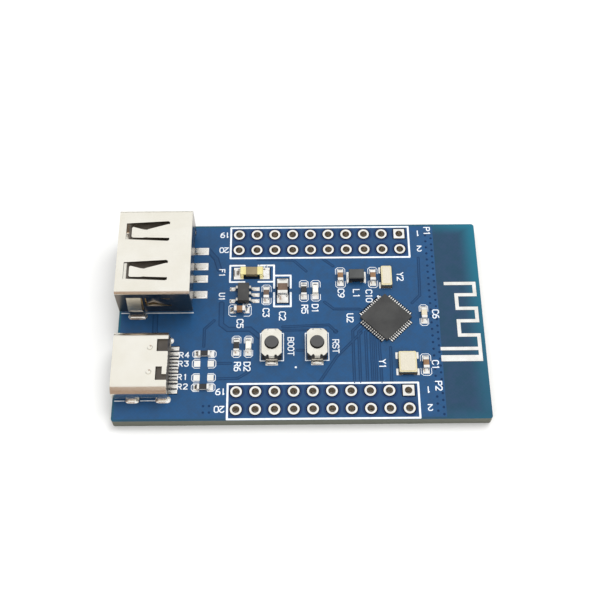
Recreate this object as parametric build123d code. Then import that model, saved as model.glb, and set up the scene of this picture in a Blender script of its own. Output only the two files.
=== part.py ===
"""Microcontroller development board: a 50 x 30 mm circuit board with two USB ports,
two push buttons, a square controller, its small parts and a printed antenna.

Frame: origin at the centre of the board's underside, +Z up out of the component side,
+X towards the antenna end, +Y towards the edge beside the large USB port. Millimetres.
"""
from build123d import *
import math
import os

# ---- board -------------------------------------------------------------------------
BOARD_L, BOARD_W, BOARD_T = 50.0, 30.0, 1.6
BOARD_CORNER_R = 0.4
PAD_T = 0.04  # copper and tin that stand above the board
SEAT = BOARD_T + PAD_T  # height at which soldered parts sit

# ---- pin headers: 2 rows of 10 holes along each long edge ------------------------------
PITCH = 2.54
HEADER_PINS = 10
HEADER_X0 = -8.69  # first column
HEADER_ROWS = (-13.45, -10.91, 10.91, 13.45)
PIN_HOLE_D = 1.0
RING_D = 1.54
PIN_ONE_ROWS = (-10.91, 13.45)  # pin 1 has a square pad in the last column
MOUTH_X = -24.8  # face of the large port, level with the board's short edge

# ---- large USB port -----------------------------------------------------------------------
A_Y = 7.25
A_W, A_H, A_L = 13.1, 5.72, 10.0
A_LIFT = 0.55  # gap between the board and the shell
A_SHEET = 0.3
A_BEND_R = 0.55
A_LEADS = (3.5, 1.0, -1.0, -3.5)
A_LEG_X, A_LEG_W, A_LEG_OUT = -22.4, 1.9, 0.4
A_LEG_BULGE = 0.3  # the leg is cut from the wall and bows out this much more on its way down
A_TONGUE_W, A_TONGUE_T, A_TONGUE_GAP = 11.1, 1.84, 0.72
A_SPRING_Y = 3.08  # the two roof springs stand this far from the middle
SPRING_TIP_X, SPRING_ROOT_X = -23.8, -18.1

# ---- small USB port -----------------------------------------------------------------------
C_X0, C_Y = -24.9, -7.68
C_W, C_H, C_L = 8.94, 3.26, 7.3
C_SHEET = 0.3
C_CORNER_R = 1.25
C_TONGUE_W, C_TONGUE_T = 6.69, 0.7
C_FINE_LEADS = (0.25, 0.75, 1.25, 1.75)
C_WIDE_LEADS = (2.4, 3.15)
C_LEG_Y = C_W / 2 - C_SHEET / 2
C_LEGS = ((-22.35, 1.1), (-18.3, 1.3))  # position and width along X
LEG_END_Z = 0.25  # legs stop inside the board's slots

# ---- push buttons -------------------------------------------------------------------------
SWITCHES = {"boot_switch": (-3.98, -4.39), "reset_switch": (2.14, -4.39)}
SW_BASE_W, SW_BASE_L, SW_BASE_H = 2.48, 3.9, 1.27
SW_POST_W, SW_POST_L = 2.66, 0.5  # the base's corner posts, which show beside the cover plate
SW_PLATE_W, SW_PLATE_L, SW_PLATE_T, SW_PLATE_TOP = 2.72, 3.96, 0.15, 1.45
SW_SKIRT_H = 0.75
SW_CAVITY_D, SW_CAVITY_Z = 2.24, 0.4
PLUNGER_D, PLUNGER_TOP, PLUNGER_FLANGE_D, PLUNGER_FLANGE_T = 1.78, 1.8, 2.1, 0.22
PLUNGER_BOTTOM = 0.76
PLUNGER_HOLE_D = 1.96
TRAVEL = 0.2
DOME_D, DOME_RISE, DOME_T = 2.12, 0.28, 0.05

# ---- controller, regulator, crystals, inductor, fuse --------------------------------------
MCU_X, MCU_Y, MCU_SIZE, MCU_H, MCU_TURN = 11.65, -0.15, 5.0, 0.55, 45.0
MCU_LANDS, MCU_PITCH, MCU_LAND_W, MCU_LAND_L, MCU_LAND_T = 12, 0.35, 0.18, 0.4, 0.2
MCU_PADDLE = 3.5
REG_X, REG_Y, REG_W, REG_L, REG_H, REG_PITCH = -7.93, 3.63, 1.6, 2.9, 1.1, 0.95
REG_SPAN = 2.9
REG_PADS = ((1, (1, 0, -1), 1.74, 0.92), (-1, (1, -1), 1.55, 0.72))  # side, rows, middle, length
REG_LEAD_W, REG_LEAD_T = 0.4, 0.15
MAIN_CRYSTAL = (14.24, -7.05, 2.5, 3.2)  # x, y, width along X, length along Y
CLOCK_CRYSTAL = (12.0, 6.2, 1.6, 3.2)
CRYSTAL_BASE_H, CRYSTAL_H = 0.3, 0.8
LID_FLANGE, LID_STEP = 0.2, 0.06  # the rolled rim round a lid's raised middle
CRYSTAL_PAD_OUT = 0.3
INDUCTOR = (7.8, 6.32, 2.1, 1.5, 1.15)  # x, y, length along X, width, height
INDUCTOR_PLATE_OUT = 0.12  # how far the inductor's end plates stand out at its foot
FUSE = (-6.84, 7.18, 3.2, 1.3, 0.7)

# ---- two-ended chips: name, x, y, turn ------------------------------------------------------
CHIP_0603 = (1.6, 0.8)
CHIP_C2 = (2.0, 1.42)
CAPACITOR_0603_H, CAPACITOR_0805_H, RESISTOR_H = 0.8, 1.2, 0.45
CAPACITORS = {
    "capacitor_c1": (16.70, -7.2, 90),
    "capacitor_c3": (-4.77, 3.62, 90),
    "capacitor_c5": (-8.42, 1.24, 0),
    "capacitor_c6": (16.92, 0.3, 90),
    "capacitor_c9": (5.58, 6.28, 90),
    "capacitor_c10": (10.12, 6.28, 90),
}
CAPACITOR_C2 = (-2.5, 4.28, 90)
RESISTORS = {
    "resistor_r2": (-13.08, -10.27, 0),
    "resistor_r4": (-13.08, -5.38, 0),
    "resistor_r5": (0.45, 4.22, 90),
    "resistor_r6": (-8.77, -4.30, 90),
}
LEDS = {"led_d1": (2.05, 4.22, 90), "led_d2": (-7.14, -4.32, 90)}
BARE_PADS = ((-13.08, -6.80), (-13.08, -8.85))  # two resistor places that stay empty
CHIP_PAD = (0.85, 0.9)  # one pad of a small chip: along and across it
CHIP_PAD_INNER = 0.5
CAP_WRAP, CAP_T = 0.3, 0.03  # end caps: length over the body and metal thickness
EDGE_R = 0.06

# ---- printed antenna: a folded line, fed at its near end --------------------------------------
LINE_W, STUB_W = 0.5, 0.9
ANT_IN, ANT_OUT, ANT_END = 21.6, 24.2, 24.45
ANT_LINE = (
    (20.0, 5.2), (ANT_OUT, 5.2), (ANT_OUT, 3.4), (ANT_IN, 3.4), (ANT_IN, 1.27), (ANT_OUT, 1.27),
    (ANT_OUT, -0.66), (ANT_IN, -0.66), (ANT_IN, -2.84), (ANT_OUT, -2.84), (ANT_OUT, -6.3),
)
ANT_FEED = ((18.85, -4.87), (ANT_OUT, -4.87))
ANT_STUB = ((18.85, -6.3), (ANT_END, -6.3))


# ---- helpers ----------------------------------------------------------------------------------
def block(x, y, z, length, width, height):
    """Box centred on x and y that stands on z."""
    return Pos(x, y, z + height / 2) * Box(length, width, height)


def rounded(x, y, z, length, width, height, radius):
    """Block whose upright edges have a radius."""
    return Pos(x, y, z) * extrude(RectangleRounded(length, width, radius), height)


def disc(x, y, z, diameter, height):
    """Upright cylinder that stands on z."""
    return Pos(x, y, z + height / 2) * Cylinder(diameter / 2, height)


def upright(face, height):
    """Prism that rises from a face drawn on the XY plane, whichever way its outline runs."""
    return extrude(face, height, dir=(0, 0, 1))


def solids(shapes):
    """One compound of the separate solids in the shapes."""
    found = [one for shape in shapes for one in shape.solids()]
    return Compound(children=found) if len(found) > 1 else found[0]


def ribbon(points, thickness):
    """Face of a strip of even thickness whose middle line runs through the points."""
    sides = ([], [])
    count = len(points)
    for i, (px, py) in enumerate(points):
        normals = []
        for a, b in ((i - 1, i), (i, i + 1)):
            if a >= 0 and b < count:
                dx, dy = points[b][0] - points[a][0], points[b][1] - points[a][1]
                normals.append((-dy / math.hypot(dx, dy), dx / math.hypot(dx, dy)))
        nx, ny = sum(n[0] for n in normals), sum(n[1] for n in normals)
        reach = thickness / 2 / ((nx * nx + ny * ny) / len(normals))
        for side, sign in zip(sides, (1, -1)):
            side.append((px + sign * nx * reach, py + sign * ny * reach))
    return Polygon(*sides[0], *reversed(sides[1]), align=None)


def strip_xz(points, thickness, y, width):
    """Strip bent in the XZ plane, of the given width along Y."""
    return Pos(0, y, 0) * extrude(Plane.XZ * ribbon(points, thickness), width / 2, both=True)


def strip_yz(points, thickness, x, width):
    """Strip bent in the YZ plane, of the given width along X."""
    return Pos(x, 0, 0) * extrude(Plane.YZ * ribbon(points, thickness), width / 2, both=True)


def tube_x(x, y, z, length, width, height, radius):
    """Bar along X with rounded long edges, its underside at z."""
    section = Plane.YZ * RectangleRounded(width, height, radius)
    return Pos(x, y, z + height / 2) * extrude(section, length)


def place(shape, x, y, turn, z=SEAT):
    """A part that was drawn at the origin, put at its place on the board."""
    return Pos(x, y, z) * Rot(0, 0, turn) * shape


def write(name, shape):
    """One STEP file for each node."""
    export_step(shape, f"parts/{name}.step")


# ---- board and its metal ------------------------------------------------------------------------
def header_holes():
    """Centres of all pin holes."""
    return [(HEADER_X0 + PITCH * i, y) for y in HEADER_ROWS for i in range(HEADER_PINS)]


def leg_slots():
    """Places, lengths and widths of the plated slots that take the ports' legs."""
    large = [(A_LEG_X, A_Y + s * (A_W / 2 - A_SHEET / 2 + A_LEG_OUT), A_LEG_W + 0.25, 0.6) for s in (1, -1)]
    small = [(x, C_Y + s * C_LEG_Y, width + 0.25, 0.55) for x, width in C_LEGS for s in (1, -1)]
    return large + small


def make_board():
    last_x = HEADER_X0 + PITCH * (HEADER_PINS - 1)
    core = rounded(0, 0, 0, BOARD_L, BOARD_W, BOARD_T, BOARD_CORNER_R)
    core -= [disc(x, y, -1, PIN_HOLE_D, BOARD_T + 2) for x, y in header_holes()]
    core -= [rounded(x, y, -1, a, b, BOARD_T + 2, b / 2 - 0.01) for x, y, a, b in leg_slots()]
    write("board_core", core)

    pads = []
    for x, y in header_holes():
        square = y in PIN_ONE_ROWS and abs(x - last_x) < 0.01
        ring = block(x, y, BOARD_T, RING_D, RING_D, PAD_T) if square else disc(x, y, BOARD_T, RING_D, PAD_T)
        pads.append(ring - disc(x, y, -1, PIN_HOLE_D, BOARD_T + 2))
    write("header_pads", solids(pads))


def chip_pads(x, y, turn, size=CHIP_PAD, inner=CHIP_PAD_INNER):
    """The two pads of a two-ended chip."""
    shift = inner + size[0] / 2
    return [place(block(s * shift, 0, 0, *size, PAD_T), x, y, turn, BOARD_T) for s in (1, -1)]


def mcu_sides():
    """Turn of the controller's four sides."""
    return [MCU_TURN + 90 * k for k in range(4)]


def make_component_pads():
    pads = []
    small_chips = list(CAPACITORS.values()) + list(RESISTORS.values()) + list(LEDS.values())
    for x, y, turn in small_chips + [(x, y, 0) for x, y in BARE_PADS]:
        pads += chip_pads(x, y, turn)
    pads += chip_pads(*CAPACITOR_C2, size=(1.25, 1.55), inner=0.65)
    pads += chip_pads(FUSE[0], FUSE[1] - 0.1, 0, size=(1.35, 1.85), inner=1.15)
    pads += chip_pads(INDUCTOR[0], INDUCTOR[1], 0, size=(0.8, 1.7), inner=0.55)
    for x, y in SWITCHES.values():
        pads += chip_pads(x, y, 90, size=(0.95, 1.65), inner=1.8)
    x, y, width, length = MAIN_CRYSTAL
    pads += [
        block(x + sx * (width / 2 - 0.4 + CRYSTAL_PAD_OUT), y + sy * (length / 2 - 0.4), BOARD_T, 0.8, 0.95, PAD_T)
        for sx in (1, -1) for sy in (1, -1)
    ]
    x, y, width, length = CLOCK_CRYSTAL
    pads += [block(x - 0.16, y + sy * (length / 2 - 0.4), BOARD_T, width + 0.12, 0.95, PAD_T) for sy in (1, -1)]
    for side, rows, middle, length in REG_PADS:
        pads += [block(REG_X + side * middle, REG_Y + k * REG_PITCH, BOARD_T, length, 0.58, PAD_T) for k in rows]
    for turn in mcu_sides():
        for k in range(MCU_LANDS):
            along = (k - (MCU_LANDS - 1) / 2) * MCU_PITCH
            land = block(MCU_SIZE / 2 - 0.015, along, 0, 0.87, MCU_LAND_W, PAD_T)
            pads.append(place(land, MCU_X, MCU_Y, turn, BOARD_T))
    pads.append(place(block(0, 0, 0, MCU_PADDLE, MCU_PADDLE, PAD_T), MCU_X, MCU_Y, MCU_TURN, BOARD_T))
    pads += [block(-14.0, A_Y + dy, BOARD_T, 2.05, 1.15, PAD_T) for dy in A_LEADS]
    for s in (1, -1):
        pads += [block(-17.15, C_Y + s * dy, BOARD_T, 1.3, 0.3, PAD_T) for dy in C_FINE_LEADS]
        pads += [block(-17.15, C_Y + s * dy, BOARD_T, 1.3, 0.55, PAD_T) for dy in C_WIDE_LEADS]
    for x, y, a, b in leg_slots():
        ring = rounded(x, y, BOARD_T, a + 0.5, b + 0.4, PAD_T, b / 2 + 0.19)
        pads.append(ring - rounded(x, y, BOARD_T - 1, a, b, 2, b / 2 - 0.01))
    write("component_pads", solids(pads))


def make_antenna():
    """The antenna's line, feed and ground stub are one piece of exposed copper."""
    faces = (ribbon(ANT_LINE, LINE_W), ribbon(ANT_FEED, LINE_W), ribbon(ANT_STUB, STUB_W))
    line, feed, stub = (upright(face, PAD_T) for face in faces)
    shape = line + feed + stub
    write("antenna_trace", Pos(0, 0, BOARD_T) * shape)


# ---- large USB port -------------------------------------------------------------------------------
def roof_spring(y, roof_z):
    """Window in the shell's roof and the spring that is cut free inside it."""
    root, tip, neck = SPRING_ROOT_X, SPRING_TIP_X + 0.72, -21.1
    window = Polygon(
        (tip - 0.7, -1.27), (root, -1.58), (root + 0.25, -1.45), (root + 0.25, -1.1), (root, -1.1),
        (root, 1.1), (root + 0.25, 1.1), (root + 0.25, 1.45), (root, 1.58), (tip - 0.7, 1.27), align=None,
    )
    outline = Polygon(
        (root + 0.3, -1.1), (root, -1.1), (neck + 0.3, -0.68), (neck, -0.6), (tip + 0.2, -0.85),
        (tip, -0.65), (tip, 0.65), (tip + 0.2, 0.85), (neck, 0.6), (neck + 0.3, 0.68),
        (root, 1.1), (root + 0.3, 1.1), align=None,
    )
    mid = roof_z - A_SHEET / 2
    path = ((root + 0.3, mid), (root, mid), (neck, mid - 0.62), (neck - 0.5, mid - 0.62), (tip, mid - 0.2))
    bent = strip_xz(path, A_SHEET, 0, 4)
    leaf = bent & (Pos(0, 0, roof_z - 2) * upright(outline, 3))
    return Pos(0, y, roof_z - 1) * upright(window, 2), Pos(0, y, 0) * leaf


def wall_spring(side, z_mid):
    """Window in a side wall and its inward spring."""
    wall = A_Y + side * (A_W / 2 - A_SHEET / 2)
    window = block(-19.25, wall, z_mid - 1.1, 3.5, 1.0, 2.2)
    path = ((-17.2, wall), (-18.1, wall), (-20.0, wall - side * 0.45), (-20.85, wall - side * 0.2))
    leaf = Pos(0, 0, z_mid) * extrude(ribbon(path, A_SHEET), 0.75, both=True)
    return window, leaf


def make_usb_a():
    floor_z = BOARD_T + A_LIFT
    roof_z = floor_z + A_H
    inner_w, inner_h = A_W - 2 * A_SHEET, A_H - 2 * A_SHEET
    shell = tube_x(MOUTH_X, A_Y, floor_z, A_L, A_W, A_H, A_BEND_R)
    shell -= tube_x(MOUTH_X - 1, A_Y, floor_z + A_SHEET, A_L + 2, inner_w, inner_h, A_BEND_R - A_SHEET)
    rear_x = MOUTH_X + A_L
    shell -= block(rear_x - 1.4, A_Y, floor_z - 1, 2.8, inner_w - 0.8, 1 + A_SHEET)
    for s in (1, -1):
        window, leaf = roof_spring(A_Y + s * A_SPRING_Y, roof_z)
        shell = shell - window + leaf
        window, leaf = wall_spring(s, floor_z + 3.1)
        shell = shell - window + leaf
    shell += block(rear_x - A_SHEET / 2, A_Y, floor_z + 1.3, A_SHEET, inner_w + 0.2, inner_h - 1.2)
    for s in (1, -1):
        wall = A_Y + s * (A_W / 2 - A_SHEET / 2)
        out = wall + s * A_LEG_OUT
        bulge = out + s * A_LEG_BULGE
        path = ((wall, floor_z + 4.7), (wall, floor_z + 4.3), (bulge, floor_z + 2.2), (out, floor_z + 1.1), (out, LEG_END_Z))
        shell -= block(A_LEG_X, wall, floor_z - 0.5, A_LEG_W + 0.3, 2 * A_SHEET, 4.75)
        shell += strip_yz(path, A_SHEET, A_LEG_X, A_LEG_W)
    write("usb_a_shell", shell)

    contacts = []
    tongue_top = roof_z - A_SHEET - A_TONGUE_GAP
    tongue_low = tongue_top - A_TONGUE_T
    foot = SEAT + 0.1
    for dy in A_LEADS:
        y = A_Y + dy
        drop_x = rear_x - 0.85
        path = ((-23.3, tongue_low + 0.02), (drop_x, tongue_low + 0.02), (drop_x, foot), (-13.25, foot))
        contacts.append(strip_xz(path, 0.2, y, 0.75))
    body = block((-23.6 - 17.8) / 2, A_Y, tongue_low, 5.8, A_TONGUE_W, A_TONGUE_T)
    body = chamfer(body.faces().sort_by(Axis.X)[0].edges(), 0.25)
    back = block((-17.5 - 15.1) / 2, A_Y, SEAT + 0.25, 2.4, inner_w - 0.9, 1.5)
    back += tube_x(-17.8, A_Y, floor_z + A_SHEET + 0.02, 2.7, inner_w - 0.1, inner_h - 0.06, A_BEND_R - A_SHEET)
    body = body + back
    body -= [block(-15.5, A_Y + dy, SEAT, 1.0, 0.95, 1.1) for dy in A_LEADS]
    for contact in contacts:
        body -= contact
    write("usb_a_insulator", body)
    write("usb_a_contacts", solids(contacts))


# ---- small USB port --------------------------------------------------------------------------------
def make_usb_c():
    inner_w, inner_h = C_W - 2 * C_SHEET, C_H - 2 * C_SHEET
    rear_x = C_X0 + C_L
    roof_z = SEAT + C_H
    shell = tube_x(C_X0, C_Y, SEAT, C_L, C_W, C_H, C_CORNER_R)
    shell -= tube_x(C_X0 - 1, C_Y, SEAT + C_SHEET, C_L + 2, inner_w, inner_h, C_CORNER_R - C_SHEET)
    shell -= block(rear_x - 0.5, C_Y, SEAT - 1, 1.2, inner_w - 1.2, 1 + C_SHEET)
    notch_x = rear_x - 0.73
    shell -= block(notch_x, C_Y + 2.15, roof_z - 1, 1.5, 1.8, 2)
    shell -= block(notch_x, C_Y - 1.92, roof_z - 1, 1.5, 1.92, 2)
    shell += block(rear_x - 0.35, C_Y - 1.5, roof_z - C_SHEET, 0.6, 1.1, C_SHEET)
    for y in (C_Y + 1.77, C_Y - 1.74):
        shell -= Pos(-19.98, y, roof_z + 0.33) * Sphere(0.5)
    for x, width in C_LEGS:
        for s in (1, -1):
            shell += block(x, C_Y + s * C_LEG_Y, LEG_END_Z, width, C_SHEET, SEAT + 1.4 - LEG_END_Z)
    write("usb_c_shell", shell)

    mid_z = SEAT + C_H / 2
    plate = block((-23.9 - 18.2) / 2, C_Y, mid_z - 0.07, 5.7, 6.0, 0.14)
    write("usb_c_mid_plate", plate)

    contacts = []
    foot = SEAT + 0.06
    offsets = sorted(s * dy for s in (1, -1) for dy in C_FINE_LEADS + C_WIDE_LEADS)
    for k, dy in enumerate(offsets):
        wide = abs(dy) > max(C_FINE_LEADS)
        above = k % 2 == 0
        level = mid_z + (1 if above else -1) * (C_TONGUE_T / 2 - 0.05)
        drop_x = rear_x - (0.3 if above else 0.65)
        path = ((-23.8, level), (drop_x, level), (drop_x, foot), (-16.65, foot))
        contacts.append(strip_xz(path, 0.12, C_Y + dy, 0.3 if wide else 0.22))
    tongue = block((-24.2 - 18.6) / 2, C_Y, mid_z - C_TONGUE_T / 2, 5.6, C_TONGUE_W, C_TONGUE_T)
    tongue = chamfer(tongue.faces().sort_by(Axis.X)[0].edges().filter_by(Axis.Y), 0.15)
    back = tube_x(-19.0, C_Y, SEAT + C_SHEET + 0.02, 1.3, inner_w - 0.06, inner_h - 0.04, C_CORNER_R - C_SHEET)
    foot_block = block(rear_x - 0.55, C_Y, SEAT + 0.2, 0.9, inner_w - 1.4, 0.5)
    body = tongue + back + foot_block
    body -= plate
    for contact in contacts:
        body -= contact
    write("usb_c_insulator", body)
    write("usb_c_contacts", solids(contacts))


# ---- push buttons -------------------------------------------------------------------------------------
def switch_terminals():
    """The two end terminals of a push button."""
    path = ((1.2, 0.28), (1.85, 0.28), (2.02, 0.08), (2.5, 0.08))
    return [Rot(0, 0, turn) * strip_xz(path, 0.12, 0, 1.5) for turn in (90, -90)]


def make_switch(name, x, y):
    terminals = switch_terminals()
    base = block(0, 0, 0.05, SW_BASE_W, SW_BASE_L, SW_BASE_H - 0.05)
    for s in (1, -1):
        base += block(0, s * (SW_BASE_L - SW_POST_L) / 2, 0.05, SW_POST_W, SW_POST_L, SW_BASE_H - 0.05)
    base -= disc(0, 0, SW_CAVITY_Z, SW_CAVITY_D, SW_BASE_H)
    for terminal in terminals:
        base -= terminal
    write(f"{name}_base", place(solids([base]), x, y, 0))
    write(f"{name}_terminals", place(solids(terminals), x, y, 0))

    top = SW_PLATE_TOP
    plate = block(0, 0, top - SW_PLATE_T, SW_PLATE_W, SW_PLATE_L, SW_PLATE_T)
    plate = chamfer(plate.edges().filter_by(Axis.Z), 0.45)
    plate -= [disc(sx * 0.55, sy * SW_PLATE_L / 2, top - 1, 0.34, 2) for sx in (1, -1) for sy in (1, -1)]
    skirt_z = top - SW_SKIRT_H
    for s in (1, -1):
        plate += block(s * (SW_PLATE_W - 0.1) / 2, 0, skirt_z, 0.1, SW_PLATE_L - 1.3, SW_SKIRT_H - 0.02)
        plate += block(0, s * (SW_PLATE_L - 0.04 + 0.06) / 2, skirt_z + 0.1, 0.72, 0.1, SW_SKIRT_H - 0.12)
    plate -= disc(0, 0, top - 1, PLUNGER_HOLE_D, 2)
    write(f"{name}_frame", place(plate, x, y, 0))

    stem = disc(0, 0, PLUNGER_BOTTOM, PLUNGER_D, PLUNGER_TOP - PLUNGER_BOTTOM)
    stem = fillet(stem.faces().sort_by(Axis.Z)[-1].edges(), 0.08)
    plunger = stem + disc(0, 0, PLUNGER_BOTTOM, PLUNGER_FLANGE_D, PLUNGER_FLANGE_T)
    write(f"{name}_plunger", place(plunger, x, y, 0))

    sphere_r = (DOME_D ** 2 / 4 + DOME_RISE ** 2) / (2 * DOME_RISE)
    cap = Pos(0, 0, DOME_RISE - sphere_r) * (Sphere(sphere_r) - Sphere(sphere_r - DOME_T))
    cap &= disc(0, 0, 0, DOME_D, 2)
    write(f"{name}_dome", place(solids([cap]), x, y, 0, SEAT + SW_CAVITY_Z + 0.02))


# ---- chips ------------------------------------------------------------------------------------------------
def chip(length, width, height, wrap=CAP_WRAP):
    """Body and end caps of a two-ended chip, drawn at the origin along X."""
    body = block(0, 0, CAP_T, length - 2 * CAP_T, width - 2 * CAP_T, height - 2 * CAP_T)
    body = fillet(body.edges(), EDGE_R)
    whole = fillet(block(0, 0, 0, length, width, height).edges(), EDGE_R + CAP_T / 2)
    caps = [
        (whole & block(s * (length - wrap) / 2, 0, -1, wrap, 2 * width, height + 2)) - body
        for s in (1, -1)
    ]
    return body, solids(caps)


def make_chip(name, place_at, size, height, wrap=CAP_WRAP):
    body, caps = chip(*size, height, wrap)
    write(f"{name}_body", place(body, *place_at))
    write(f"{name}_terminals", place(caps, *place_at))


def make_led(name, place_at):
    """Board, lens and soldered ends of a small light."""
    length, width = CHIP_0603
    slab = block(0, 0, CAP_T, length - 2 * CAP_T, width - 0.02, 0.22)
    lens = block(0, 0, CAP_T + 0.22, length - 0.5, width - 0.06, 0.4)
    lens = chamfer(lens.faces().sort_by(Axis.Z)[-1].edges(), 0.07)
    body = slab + lens
    ends = [block(s * (length - 0.28) / 2, 0, 0, 0.28, width, 0.22 + CAP_T + 0.02) - body for s in (1, -1)]
    write(f"{name}_body", place(body, *place_at))
    write(f"{name}_terminals", place(solids(ends), *place_at))


def make_controller():
    lands = [place(block(0, 0, 0, MCU_PADDLE, MCU_PADDLE, MCU_LAND_T), 0, 0, 0, 0)]
    for turn in (0, 90, 180, 270):
        for k in range(MCU_LANDS):
            along = (k - (MCU_LANDS - 1) / 2) * MCU_PITCH
            land = block((MCU_SIZE - MCU_LAND_L) / 2, along, 0, MCU_LAND_L, MCU_LAND_W, MCU_LAND_T)
            lands.append(Rot(0, 0, turn) * land)
    body = block(0, 0, 0.02, MCU_SIZE, MCU_SIZE, MCU_H - 0.02)
    body -= lands
    write("mcu_package", place(solids([body]), MCU_X, MCU_Y, MCU_TURN))
    write("mcu_lead_frame", place(solids(lands), MCU_X, MCU_Y, MCU_TURN))


def make_regulator():
    lead_z, half = 0.55, REG_SPAN / 2
    leads = []
    for side, rows in ((1, (1, 0, -1)), (-1, (1, -1))):
        path = ((0.45, lead_z), (0.98, lead_z), (1.1, 0.08), (half + 0.1, 0.08))
        leads += [
            Rot(0, 0, 0 if side > 0 else 180) * strip_xz(path, REG_LEAD_T, side * k * REG_PITCH, REG_LEAD_W)
            for k in rows
        ]
    mid = (REG_H + 0.1) / 2
    upper = Pos(0, 0, mid) * extrude(Rectangle(REG_W, REG_L), REG_H - mid, taper=8)
    lower = Pos(0, 0, mid) * extrude(Rectangle(REG_W, REG_L), -(mid - 0.1), taper=8)
    body = upper + lower
    for lead in leads:
        body -= lead
    write("regulator_body", place(solids([body]), REG_X, REG_Y, 0))
    write("regulator_leads", place(solids(leads), REG_X, REG_Y, 0))


def make_inductor():
    """Moulded body over two end plates."""
    x, y, length, width, height = INDUCTOR
    body = block(0, 0, 0.1, length, width, height - 0.1)
    body = chamfer(body.faces().sort_by(Axis.Z)[-1].edges(), 0.12)
    plates = [block(s * (length / 2 + INDUCTOR_PLATE_OUT - 0.28), 0, 0, 0.56, width - 0.3, 0.1) for s in (1, -1)]
    write("inductor_body", place(body, x, y, 0))
    write("inductor_terminals", place(solids(plates), x, y, 0))


def make_crystal(name, x, y, width, length):
    base = rounded(0, 0, 0, width, length, CRYSTAL_BASE_H, 0.12)
    rim_h = CRYSTAL_H - CRYSTAL_BASE_H - LID_STEP
    lid = rounded(0, 0, CRYSTAL_BASE_H, width - 0.1, length - 0.1, rim_h, 0.22)
    lid = fillet(lid.faces().sort_by(Axis.Z)[-1].edges(), 0.06)
    inset = 0.1 + 2 * LID_FLANGE
    middle = rounded(0, 0, CRYSTAL_H - LID_STEP - 0.1, width - inset, length - inset, LID_STEP + 0.1, 0.15)
    lid += fillet(middle.faces().sort_by(Axis.Z)[-1].edges(), 0.03)
    write(f"{name}_base", place(base, x, y, 0))
    write(f"{name}_lid", place(lid, x, y, 0))


def main():
    os.makedirs("parts", exist_ok=True)
    make_board()
    make_component_pads()
    make_antenna()
    make_usb_a()
    make_usb_c()
    for name, (x, y) in SWITCHES.items():
        make_switch(name, x, y)
    make_controller()
    make_regulator()
    make_crystal("main_crystal", *MAIN_CRYSTAL)
    make_crystal("clock_crystal", *CLOCK_CRYSTAL)
    make_inductor()
    make_chip("fuse", (*FUSE[:2], 0), FUSE[2:4], FUSE[4], wrap=0.8)
    make_chip("capacitor_c2", CAPACITOR_C2, CHIP_C2, CAPACITOR_0805_H, wrap=0.45)
    for name, place_at in CAPACITORS.items():
        make_chip(name, place_at, CHIP_0603, CAPACITOR_0603_H, wrap=0.4)
    for name, place_at in RESISTORS.items():
        make_chip(name, place_at, CHIP_0603, RESISTOR_H)
    for name, place_at in LEDS.items():
        make_led(name, place_at)


main()
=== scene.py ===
"""Looks of a microcontroller dev board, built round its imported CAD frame.

Every length in this file is in millimetres until a mesh is published, which turns it to metres.
X runs along the board from its ports to its antenna, Y across it, Z up from its underside.
"""

import logging
import math
from collections.abc import Callable, Iterable, Sequence
from dataclasses import dataclass, replace
from enum import Enum
from functools import partial

import bmesh
import bpy
from mathutils import Matrix, Vector


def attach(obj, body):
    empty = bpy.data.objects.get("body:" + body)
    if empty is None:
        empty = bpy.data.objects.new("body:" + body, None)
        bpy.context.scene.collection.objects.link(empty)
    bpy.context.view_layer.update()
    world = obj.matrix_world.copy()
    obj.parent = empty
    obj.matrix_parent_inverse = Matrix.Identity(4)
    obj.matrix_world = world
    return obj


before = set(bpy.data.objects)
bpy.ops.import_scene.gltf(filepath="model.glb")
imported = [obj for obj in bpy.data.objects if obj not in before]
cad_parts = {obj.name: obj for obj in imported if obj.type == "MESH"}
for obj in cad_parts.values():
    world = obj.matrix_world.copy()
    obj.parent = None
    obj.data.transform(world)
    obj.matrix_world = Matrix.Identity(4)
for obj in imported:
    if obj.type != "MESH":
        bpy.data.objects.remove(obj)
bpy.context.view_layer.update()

MM = 0.001
BODY = "board"
BOARD_TOP = 1.6
PAD_TOP = 1.64
HALF_LENGTH = 25.0
HALF_WIDTH = 15.0
INK_HEIGHT = 0.014
SOLDER_SINK = 0.01

# The two header grids' holes along X, and the controller's middle, turn and land pitch.
FIRST_COLUMN = -8.69
HEADER_PITCH = 2.54
COLUMNS = 10
CONTROLLER_X = 11.65
CONTROLLER_Y = -0.15
CONTROLLER_TURN = 45.0
LANDS = 12
LAND_PITCH = 0.35

# Sockets of a Mix node, which has a set for each kind of value.
FACTOR, FLOAT_A, FLOAT_B, COLOUR_A, COLOUR_B, COLOUR_OUT = 0, 2, 3, 6, 7, 2

LOG = logging.getLogger("dev_board")

Point = tuple[float, float]
Sockets = bpy.types.bpy_prop_collection
Profile = Callable[[float, float], float]


# ---- node and mesh helpers ---------------------------------------------------------------


def linear(hex_code: str) -> tuple[float, float, float, float]:
    """Turn an sRGB hex value into a linear colour.

    Args:
        hex_code: Colour such as "#3a6a90".

    Returns:
        Linear red, green, blue and an alpha of one.
    """
    parts = [int(hex_code[k : k + 2], 16) / 255 for k in (1, 3, 5)]
    red, green, blue = (c / 12.92 if c <= 0.04045 else ((c + 0.055) / 1.055) ** 2.4 for c in parts)
    return red, green, blue, 1.0


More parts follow.
